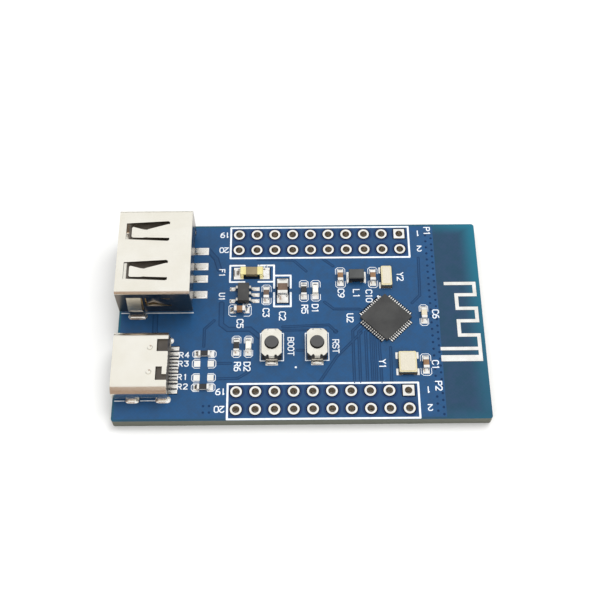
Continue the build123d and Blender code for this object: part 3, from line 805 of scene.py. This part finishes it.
@dataclass
class Printing:
    """The white printing: header frames, part outlines and labels."""

    heavy: float = 0.27
    light: float = 0.085
    edging: float = 0.13
    labels: tuple[Label, ...] = (
        Label("P1", 18.2, 13.85),
        Label("P2", 18.22, -10.3),
        Label("1", 16.85, 13.5, Turn.UPSIDE_DOWN),
        Label("2", 16.95, 10.95, Turn.UPSIDE_DOWN),
        Label("19", -10.75, 13.45, Turn.UPSIDE_DOWN, 0.78),
        Label("20", -10.82, 10.95, Turn.UPSIDE_DOWN, 0.78),
        Label("1", 16.8, -10.85, Turn.UPSIDE_DOWN),
        Label("2", 16.9, -13.4, Turn.UPSIDE_DOWN),
        Label("19", -10.75, -10.9, Turn.UPSIDE_DOWN),
        Label("20", -10.88, -13.4, Turn.UPSIDE_DOWN),
        Label("F1", -11.0, 7.2, Turn.DOWNWARD, 0.72),
        Label("U1", -10.94, 3.4, Turn.DOWNWARD, 0.74),
        Label("C5", -8.36, -0.78),
        Label("C3", -4.8, 0.88),
        Label("C2", -2.54, 0.33),
        Label("R5", 0.54, 1.36),
        Label("D1", 1.98, 1.45),
        Label("C9", 5.62, 3.82),
        Label("L1", 7.75, 3.75),
        Label("C10", 9.5, 3.35, step=4.9),
        Label("Y2", 13.97, 6.4),
        Label("U2", 6.75, -0.06),
        Label("C6", 18.55, 0.44),
        Label("Y1", 10.9, -7.03),
        Label("C1", 18.0, -7.25),
        Label("R6", -8.6, -7.26),
        Label("D2", -7.3, -7.26),
        Label("R4", -15.8, -5.47, Turn.UPRIGHT, 0.74, step=6.4),
        Label("R3", -15.85, -6.76, Turn.UPRIGHT, 0.74, step=6.4),
        Label("R1", -15.9, -8.71, Turn.UPRIGHT, 0.74, step=6.4),
        Label("R2", -15.85, -10.1, Turn.UPRIGHT, 0.74, step=6.4),
        Label("BOOT", -1.40, -4.32, Turn.DOWNWARD, 0.78, 0.135, 5.5),
        Label("RST", 4.69, -4.36, Turn.DOWNWARD, 0.82, 0.135, 5.2),
    )

    def build(self) -> None:
        """Make the frames, the outlines and the labels as three pieces."""
        frames = Pen(BOARD_TOP, INK_HEIGHT)
        frames.frame(-9.83, 15.5, -14.82, -9.8, self.heavy)
        frames.frame(-9.88, 15.5, 9.58, 14.62, self.heavy)
        publish("printing_header_frames", frames.mesh, WHITE_INK.material())

        outlines = Pen(BOARD_TOP, INK_HEIGHT)
        outlines.frame(-9.88, -3.72, 5.74, 8.38, self.heavy, gaps=((-7.85, -5.9),))
        for side in (-3.7, -1.38):
            outlines.line([(side, 1.82), (side, 3.95)], self.heavy)
            outlines.line([(side, 4.75), (side, 6.72)], self.heavy)
        for end in (1.82, 6.72):
            outlines.line([(-3.7, end), (-1.38, end)], self.heavy)
        for left, right, low, high in (
            (-5.40, -4.11, 2.10, 5.21),
            (-0.17, 1.06, 2.56, 5.89),
            (1.45, 2.74, 2.61, 5.88),
            (4.92, 6.25, 4.66, 7.90),
            (9.47, 10.78, 4.66, 7.93),
            (16.02, 17.42, -8.78, -5.61),
            (16.33, 17.51, -1.32, 1.89),
            (-9.37, -8.17, -5.90, -2.70),
            (-7.72, -6.56, -5.91, -2.72),
        ):
            outlines.bracket(left, right, low, high, self.light, 1.05, True)
        for left, right, low, high in (
            (-9.93, -6.84, 0.34, 2.14),
            (-14.65, -11.49, -5.91, -4.85),
            (-14.65, -11.49, -7.44, -6.17),
            (-14.65, -11.49, -9.45, -8.25),
            (-14.65, -11.49, -10.83, -9.70),
        ):
            outlines.bracket(left, right, low, high, self.light, 1.0, False)
        for x in (6.55, 9.05):
            outlines.line([(x, 5.35), (x, 7.15)], self.light)
        for x in (-5.54, 0.57):
            outlines.frame(x, x + 3.14, -6.45, -2.34, self.edging)
        outlines.line([(-24.67, 0.93), (-14.81, 0.93)], self.edging)
        outlines.line([(-24.7, -12.1), (-23.43, -12.1)], self.edging)
        outlines.line([(-21.26, -12.1), (-19.35, -12.1)], self.edging)
        for x, y in ((-5.72, 8.2), (-4.88, 8.12), (-7.74, 2.2), (-7.16, 2.0)):
            outlines.loop(x, y, 0.24, 0.13)
        outlines.dot(-0.76, -7.43, 0.15)
        outlines.dot(10.79, 3.24, 0.2)
        publish("printing_part_outlines", outlines.mesh, WHITE_INK.material())

        letters = Pen(BOARD_TOP, INK_HEIGHT)
        for label in self.labels:
            label.draw(letters)
        publish("printing_labels", letters.mesh, WHITE_INK.material())


# ---- board -------------------------------------------------------------------------------------


@dataclass
class BareBoard:
    """The board with its pads, rings, antenna, vias and tracks."""

    rows: tuple[float, ...] = (-13.45, -10.91, 10.91, 13.45)
    square_rows: tuple[float, ...] = (-10.91, 13.45)
    opening: float = 0.92
    opening_sides: int = 28
    opening_band: float = 0.25
    land_end: float = 2.95

    def dress(self) -> None:
        """Give the board's CAD nodes their finishes."""
        dress(BOARD_FINISH.material(), "board_core")
        dress(TINNED_COPPER.material(), "header_pads", "component_pads", "antenna_trace")

    def openings(self) -> None:
        """Make the mask openings, a dark line of laminate round each ring."""
        mesh = bmesh.new()
        last = FIRST_COLUMN + HEADER_PITCH * (COLUMNS - 1)
        for y in self.rows:
            for k in range(COLUMNS):
                x = FIRST_COLUMN + k * HEADER_PITCH
                square = y in self.square_rows and abs(x - last) < 0.01
                sides, radius = (4, self.opening * math.sqrt(2)) if square else (self.opening_sides, self.opening)
                turn = Matrix.Rotation(math.pi / 4, 4, "Z") if square else Matrix.Identity(4)
                spot = Matrix.Translation((x, y, BOARD_TOP + 0.003)) @ turn
                made = bmesh.ops.create_circle(mesh, cap_ends=True, segments=sides, radius=radius, matrix=spot)
                outer = made["verts"][0].link_faces[0]
                inset = bmesh.ops.inset_region(mesh, faces=[outer], thickness=self.opening_band, use_boundary=True)
                bmesh.ops.delete(mesh, geom=[outer], context="FACES_ONLY")
                raised = bmesh.ops.extrude_face_region(mesh, geom=inset["faces"])
                raise_rim(mesh, raised, (0, 0, -0.002))
        publish("mask_openings", mesh, OPENING.material())

    def bare_strips(self) -> None:
        """Make the dark bare laminate between fine pads and round large ones."""
        pen = Pen(BOARD_TOP, 0.012)
        for quarter in range(4):
            middle = spot(CONTROLLER_X, CONTROLLER_Y, CONTROLLER_TURN + 90 * quarter, 0)
            pen.slab(middle @ Matrix.Translation((2.8, 0, 0)), 0.7, 4.2)
        pen.slab(spot(-17.15, -7.68, 0, 0), 1.42, 7.1)
        pen.slab(spot(-6.84, 7.08, 0, 0), 5.3, 1.78)
        pen.slab(spot(-2.5, 4.28, 90, 0), 4.1, 1.82)
        publish("bare_strips", pen.mesh, OPENING.material())

    def vias(self) -> None:
        """Make the mask-filled vias, small dark dots."""
        pen = Pen(BOARD_TOP, 0.003, sides=10)
        for k in range(28):
            pen.dot(17.9, -13.85 + k * 1.0, 0.175)
            pen.dot(18.67, -14.35 + k * 1.0, 0.175)
        for dx in (-0.4, 0.4):
            for dy in (-0.46, 0.46):
                pen.dot(-12.6 + dx, -13.38 + dy, 0.17)
        publish("filled_vias", pen.mesh, VIA_MASK.material())

    def tracks(self) -> None:
        """Make the copper tracks that show through the mask, each between two clear lines."""
        wide: list[tuple[Point, ...]] = [
            ((-10.95, 2.3), (-10.92, -0.9), (-10.0, -1.68), (-6.97, -1.64), (-5.6, -2.9)),
            ((-20.0, 0.6), (-19.93, -3.1)),
            ((-13.0, 10.9), (-11.9, 9.5), (-11.4, 7.8)),
        ]
        thin: list[tuple[Point, ...]] = [
            ((-12.2, -6.75), (-9.5, -6.75)),
            ((-12.2, -9.05), (-8.5, -8.95), (-7.0, -8.0), (-7.0, -6.2)),
            ((-2.4, -1.85), (0.9, -1.85)),
            ((-2.5, -1.35), (3.8, -1.1), (4.7, -2.1)),
            ((-0.5, -4.9), (0.6, -4.9)),
            ((2.35, -9.7), (4.75, -5.95), (8.2, -2.3)),
            ((2.9, 9.6), (4.6, 8.2)),
            ((3.3, 2.45), (4.55, 1.35), (8.0, 1.3), (8.9, 0.9)),
            ((12.1, -4.6), (12.0, -9.7)),
            ((16.7, 9.4), (16.55, 3.4), (15.4, 2.2)),
            ((-6.0, 9.35), (-1.0, 9.2), (0.8, 7.4)),
            ((-13.2, -4.2), (-13.2, -1.6), (-11.9, -0.3)),
        ]
        # Fan of tracks from the controller's near-left side down to the near header.
        for land, x in ((0, 7.05), (2, 7.86), (4, 8.8), (6, 9.5), (8, 10.02), (10, 10.7)):
            across = (land - (LANDS - 1) / 2) * LAND_PITCH * math.sqrt(0.5)
            out = self.land_end * math.sqrt(0.5)
            at_x, at_y = CONTROLLER_X - out + across, CONTROLLER_Y - out - across
            drop = max(0.1, at_x - x)
            thin.append(((at_x, at_y), (at_x - drop, at_y - drop), (x, -9.75)))
        gaps = Pen(BOARD_TOP, 0.001, sides=8)
        copper = Pen(BOARD_TOP + 0.001, 0.01, sides=8)
        for run in wide:
            gaps.line(run, 0.86)
            copper.line(run, 0.5)
        for run in thin:
            gaps.line(run, 0.46)
            copper.line(run, 0.16)
        gaps.loop(4.71, -2.11, 0.3, 0.12)
        publish("track_clearances", gaps.mesh, GAP_MASK.material())
        publish("track_relief", copper.mesh, TRACK_MASK.material())

    def build(self) -> None:
        """Dress the board and make its own pieces."""
        self.dress()
        self.openings()
        self.bare_strips()
        self.tracks()
        self.vias()


# ---- solder --------------------------------------------------------------------------------------


def fillet_profile(along: float, across: float) -> float:
    """Height of a solder fillet that climbs a part's end: one at the end, none at the pad's rim."""
    return max(0.03, (1 - along) ** 1.7) * (1 - abs(2 * across) ** 4) ** 0.5


def mound_profile(along: float, across: float) -> float:
    """Height of a round mound of solder over a pad."""
    return ((1 - abs(2 * along - 1) ** 4) * (1 - abs(2 * across) ** 4)) ** 0.5


class SolderLayer:
    """Collects the solder joints of one kind of part."""

    def __init__(self, name: str, cuts: int) -> None:
        """Start an empty layer.

        Args:
            name: Name of the piece it becomes.
            cuts: Cuts along each edge of a joint.
        """
        self.name = name
        self.mesh = bmesh.new()
        block = bmesh.new()
        bmesh.ops.create_cube(block, size=1.0, matrix=Matrix.Translation((0.5, 0, 0.5)))
        bmesh.ops.subdivide_edges(block, edges=block.edges, cuts=cuts, use_grid_fill=True)
        self.block = bpy.data.meshes.new(name + "_block")
        block.to_mesh(self.block)
        block.free()

    def joint(self, place: Matrix, length: float, width: float, height: float, profile: Profile) -> None:
        """Add one joint, drawn along X from its place, on the pads' level.

        Args:
            place: Where it starts and which way it runs.
            length: Its length along the pad.
            width: Its width.
            height: Its greatest height.
            profile: Its height over the pad, from where a point lies along and across it.
        """
        start = len(self.mesh.verts)
        self.mesh.from_mesh(self.block)
        self.mesh.verts.ensure_lookup_table()
        for vert in self.mesh.verts[start:]:
            along, across, rise = vert.co
            pull = 1 - 0.16 * abs(2 * along - 1) ** 4 * abs(2 * across) ** 4
            tall = rise * height * profile(min(max(along, 0.0), 1.0), min(max(across, -0.5), 0.5))
            vert.co = place @ Vector((length * (0.5 + (along - 0.5) * pull), width * across * pull, tall))

    def publish(self) -> None:
        """Turn the layer into a piece."""
        publish(self.name, self.mesh, SOLDER.material(), smooth=True)
        bpy.data.meshes.remove(self.block)


def spot(x: float, y: float, turn: float = 0.0, level: float = PAD_TOP) -> Matrix:
    """Place on the board, turned about the upright.

    Args:
        x: Where along the board.
        y: Where across the board.
        turn: Degrees.
        level: Height over the board's underside.

    Returns:
        The matrix of that place.
    """
    return Matrix.Translation((x, y, level)) @ Matrix.Rotation(math.radians(turn), 4, "Z")


# ---- parts ---------------------------------------------------------------------------------------


@dataclass
class EndCapChip:
    """A capacitor, resistor, inductor, fuse or light with two soldered ends."""

    name: str
    x: float
    y: float
    turn: float
    finish: Finish | LayeredFinish
    length: float = 1.6
    climb: float = 0.42
    pad_end: float = 1.35
    pad_width: float = 0.9
    ends: Finish = TINNED_COPPER

    def build(self, solder: SolderLayer) -> None:
        """Dress the chip and solder its ends.

        Args:
            solder: Layer that gets its joints.
        """
        dress(self.finish.material(), f"{self.name}_body")
        dress(self.ends.material(), f"{self.name}_terminals")
        for flip in (0, 180):
            place = spot(self.x, self.y, self.turn + flip) @ Matrix.Translation(
                (self.length / 2 - 0.03, 0, -SOLDER_SINK)
            )
            solder.joint(place, self.pad_end - self.length / 2, self.pad_width * 0.97, self.climb, fillet_profile)


@dataclass(frozen=True)
class Joint:
    """A mound of solder over one pad.

    Attributes:
        x: Middle of its part, or its own start, along X.
        y: The same along Y.
        length: Length along the pad.
        width: Width of the mound.
        height: Its greatest height.
        turn: Degrees from X to the way it runs.
        start: How far from that middle it starts.
        across: How far beside that line it lies.
    """

    x: float
    y: float
    length: float
    width: float
    height: float
    turn: float = 0.0
    start: float = 0.0
    across: float = 0.0


@dataclass(frozen=True)
class Part:
    """A part on the board.

    Attributes:
        finishes: Finish of each of its CAD nodes.
        joints: Its solder joints.
    """

    finishes: dict[str, Surface]
    joints: tuple[Joint, ...] = ()

    def build(self, solder: SolderLayer | None = None) -> None:
        """Dress the part and solder it.

        Args:
            solder: Layer that gets its joints.
        """
        for name, finish in self.finishes.items():
            dress(finish.material(), name)
        for joint in self.joints:
            place = spot(joint.x, joint.y, joint.turn) @ Matrix.Translation((joint.start, joint.across, -SOLDER_SINK))
            solder.joint(place, joint.length, joint.width, joint.height, mound_profile)


def push_button(name: str, x: float, y: float) -> Part:
    """Describe a low button: base, cover plate, plunger, dome and two soldered terminals.

    Args:
        name: Start of its nodes' names.
        x: Middle of the button along X.
        y: Middle of the button along Y.

    Returns:
        The button.
    """
    finishes = {
        "base": BASE_PLASTIC,
        "frame": TINNED_STEEL,
        "terminals": TINNED_STEEL,
        "plunger": BUTTON_TOP,
        "dome": STAINLESS,
    }
    joints = tuple(Joint(x, y, 0.72, 1.6, 0.2, turn, start=2.0) for turn in (90, -90))
    return Part({f"{name}_{piece}": finish for piece, finish in finishes.items()}, joints)


LARGE_PORT = Part(
    {"usb_a_shell": LARGE_SHELL, "usb_a_insulator": CONNECTOR_PLASTIC, "usb_a_contacts": CONTACT_STRIP},
    (
        *(Joint(-15.0, 7.25 + lead, 2.0, 1.12, 0.13) for lead in (3.5, 1.0, -1.0, -3.5)),
        *(Joint(-23.7, 7.25 + leg, 2.6, 0.95, 0.22) for leg in (6.8, -6.8)),
    ),
)
# One side of the small port: each joint's start, distance from the port's middle, length, width and height.
SMALL_PORT_SIDE = (
    *((-17.6, fine, 1.05, 0.25, 0.12) for fine in (0.25, 0.75, 1.25, 1.75)),
    *((-17.6, wide, 1.05, 0.52, 0.1) for wide in (2.4, 3.15)),
    (-23.2, 4.42, 1.7, 0.7, 0.16),
    (-19.25, 4.42, 1.9, 0.7, 0.16),
)
SMALL_PORT = Part(
    {
        "usb_c_shell": NICKEL_SHELL,
        "usb_c_insulator": SMALL_PORT_PLASTIC,
        "usb_c_contacts": CONTACT_STRIP,
        "usb_c_mid_plate": STAINLESS,
    },
    tuple(Joint(x, -7.68 + side * off, *size) for side in (1, -1) for x, off, *size in SMALL_PORT_SIDE),
)
CONTROLLER = Part(
    {"mcu_package": CHIP_EPOXY, "mcu_lead_frame": TINNED_COPPER},
    tuple(
        Joint(CONTROLLER_X, CONTROLLER_Y, 0.6, 0.17, 0.05, CONTROLLER_TURN + 90 * quarter, 2.49, across)
        for quarter in range(4)
        for across in ((k - (LANDS - 1) / 2) * LAND_PITCH for k in range(LANDS))
    ),
)
# The regulator's leads: turn, place along the side, start and length.
REGULATOR_LEADS = (
    (0, 0.95, 1.3, 0.86),
    (0, 0.0, 1.3, 0.86),
    (0, -0.95, 1.3, 0.86),
    (180, -0.95, 1.22, 0.66),
    (180, 0.95, 1.22, 0.66),
)
REGULATOR = Part(
    {"regulator_body": CHIP_EPOXY, "regulator_leads": TIN_LEADS},
    tuple(Joint(-7.93, 3.63, length, 0.54, 0.17, turn, start, off) for turn, off, start, length in REGULATOR_LEADS),
)
CRYSTALS = Part(
    {
        f"{kind}_crystal_{piece}": finish
        for kind in ("main", "clock")
        for piece, finish in (("base", CRYSTAL_BASE), ("lid", CRYSTAL_LID))
    }
)
CHIPS = (
    EndCapChip("capacitor_c1", 16.70, -7.2, 90, TAN_CERAMIC),
    EndCapChip("capacitor_c3", -4.77, 3.62, 90, BROWN_CERAMIC),
    EndCapChip("capacitor_c5", -8.42, 1.24, 0, TAN_CERAMIC),
    EndCapChip("capacitor_c6", 16.92, 0.3, 90, PALE_CERAMIC),
    EndCapChip("capacitor_c9", 5.58, 6.28, 90, TAN_CERAMIC),
    EndCapChip("capacitor_c10", 10.12, 6.28, 90, TAN_CERAMIC),
    EndCapChip("capacitor_c2", -2.5, 4.28, 90, BROWN_CERAMIC, length=2.0, climb=0.7, pad_end=1.9, pad_width=1.54),
    EndCapChip("resistor_r2", -13.08, -10.27, 0, RESISTOR_GLASS, climb=0.3),
    EndCapChip("resistor_r4", -13.08, -5.38, 0, RESISTOR_GLASS, climb=0.3),
    EndCapChip("resistor_r5", 0.45, 4.22, 90, RESISTOR_GLASS, climb=0.3),
    EndCapChip("resistor_r6", -8.77, -4.30, 90, RESISTOR_GLASS, climb=0.3),
    EndCapChip("led_d1", 2.05, 4.22, 90, LED_LENS, climb=0.24),
    EndCapChip("led_d2", -7.14, -4.32, 90, LED_LENS, climb=0.24),
    EndCapChip("inductor", 7.8, 6.32, 0, FERRITE, length=2.3, climb=0.1, pad_end=1.35, pad_width=1.25),
    EndCapChip("fuse", -6.84, 7.13, 0, FUSE_BODY, length=3.2, climb=0.4, pad_end=2.5, pad_width=1.6, ends=FUSE_ENDS),
)


@dataclass(frozen=True)
class Assembly:
    """All the parts on the board: each solder layer's name, cuts and parts, in the order they are fitted."""

    layers: tuple[tuple[str, int, tuple[EndCapChip | Part, ...]], ...] = (
        ("solder_chip_ends", 5, CHIPS),
        (
            "solder_button_ends", 5,
            (push_button("boot_switch", -3.98, -4.39), push_button("reset_switch", 2.14, -4.39)),
        ),
        ("solder_port_leads", 5, (LARGE_PORT, SMALL_PORT)),
        ("solder_controller_lands", 2, (CONTROLLER,)),
        ("solder_regulator_leads", 5, (REGULATOR,)),
    )

    def build(self) -> None:
        """Dress every part and solder it."""
        for name, cuts, parts in self.layers:
            layer = SolderLayer(name, cuts)
            for part in parts:
                part.build(layer)
            layer.publish()
        CRYSTALS.build()


# ---- studio ----------------------------------------------------------------------------------------


@dataclass
class Studio:
    """Pale floor, soft light and the camera. The key lamp's size and place are in metres."""

    camera_at: tuple[float, float, float] = (-0.534, -66.165, 129.990)
    forward: tuple[float, float, float] = (0.00296, 0.47323, -0.88093)
    right: tuple[float, float, float] = (0.99996, -0.00884, -0.00139)
    lens: float = 63.06
    world_level: float = 1.0
    key_watts: float = 6.5
    key_size: float = 0.7
    key_at: tuple[float, float, float] = (0.36, 0.46, 1.08)
    card_colour: str = "#b29886"
    ring_colour: str = "#55504c"
    ring_radius: float = 400.0
    ring_height: float = 115.0
    floor_half: float = 1500.0

    def floor(self) -> None:
        """Make the pale floor, a little under the board."""
        mesh = bmesh.new()
        under = Matrix.Translation((0, 0, -0.03))
        bmesh.ops.create_grid(mesh, x_segments=1, y_segments=1, size=self.floor_half, matrix=under)
        bmesh.ops.scale(mesh, vec=(MM, MM, MM), verts=mesh.verts)
        paper = Finish("matt white paper", "#f2f2f1", "#efefee", (0.8, 0.9), grain=1.0, relief=0.0, drift_size=60)
        stand("floor", mesh, paper.material())

    def flag(self, name: str, mesh: bmesh.types.BMesh, colour: str) -> None:
        """Stand a card round the object that only its reflections show.

        Args:
            name: Name of the card.
            mesh: Its shape in millimetres. It is freed here.
            colour: Its even colour, sRGB hex.
        """
        bmesh.ops.scale(mesh, vec=(MM, MM, MM), verts=mesh.verts)
        paint = bpy.data.materials.new(name + " paint")
        paint.use_nodes = True
        paint.node_tree.nodes.clear()
        glow = add(paint.node_tree, "Emission", {"Color": linear(colour), "Strength": 1.0})
        add(paint.node_tree, "OutputMaterial", (glow[0],))
        card = stand(name, mesh, paint)
        for ray in ("camera", "diffuse", "shadow", "transmission", "volume_scatter"):
            setattr(card, f"visible_{ray}", False)

    def flags(self) -> None:
        """Stand the brown card and table edge in front, and a low grey ring all round."""
        upright = Matrix.Rotation(math.radians(90), 4, "X")
        places = {
            "front_card": Matrix.Translation((-215, -250, 225)) @ upright @ Matrix.Diagonal((185, 225, 1, 1)),
            "front_table": Matrix.Translation((-195, -135, -0.02)) @ Matrix.Diagonal((180, 118, 1, 1)),
        }
        for name, place in places.items():
            card = bmesh.new()
            bmesh.ops.create_grid(card, x_segments=1, y_segments=1, size=1, matrix=place)
            self.flag(name, card, self.card_colour)
        ring = bmesh.new()
        bmesh.ops.create_circle(ring, segments=48, radius=self.ring_radius)
        grown = bmesh.ops.extrude_edge_only(ring, edges=ring.edges[:])
        raise_rim(ring, grown, (0, 0, self.ring_height))
        self.flag("low_ring", ring, self.ring_colour)

    def light(self) -> None:
        """Make the even surround and the soft light from the far right."""
        world = bpy.data.worlds.new("studio")
        world.use_nodes = True
        world.node_tree.nodes.clear()
        white = {"Color": (1.0, 1.0, 1.0, 1.0), "Strength": self.world_level}
        sky = add(world.node_tree, "Background", white)
        add(world.node_tree, "OutputWorld", (sky[0],))
        bpy.context.scene.world = world
        lamp = bpy.data.lights.new("key", "AREA")
        lamp.shape = "DISK"
        lamp.size = self.key_size
        lamp.energy = self.key_watts
        key = bpy.data.objects.new("key", lamp)
        bpy.context.scene.collection.objects.link(key)
        key.location = Vector(self.key_at)
        key.visible_glossy = False
        key.rotation_mode = "QUATERNION"
        key.rotation_quaternion = (-key.location).to_track_quat("-Z", "Y")

    def camera(self) -> None:
        """Set the camera over the board's near side."""
        right, forward = Vector(self.right), Vector(self.forward)
        up = right.cross(forward).normalized()
        back = -forward.normalized()
        side = up.cross(back).normalized()
        turn = Matrix((side, up, back)).transposed()
        data = bpy.data.cameras.new("camera")
        data.lens = self.lens
        data.sensor_width = 36.0
        data.clip_start = 0.01
        data.clip_end = 20.0
        camera = bpy.data.objects.new("camera", data)
        camera.matrix_world = Matrix.Translation(Vector(self.camera_at) * MM) @ turn.to_4x4()
        bpy.context.scene.collection.objects.link(camera)
        bpy.context.scene.camera = camera

    def build(self) -> None:
        """Set up the whole studio."""
        bpy.context.scene.view_settings.view_transform = "Standard"
        self.floor()
        self.flags()
        self.light()
        self.camera()


def main() -> None:
    """Build the studio, the board, its parts and its printing."""
    logging.basicConfig(level=logging.INFO, format="%(message)s")
    Studio().build()
    BareBoard().build()
    Assembly().build()
    Printing().build()


if __name__ == "__main__":
    main()
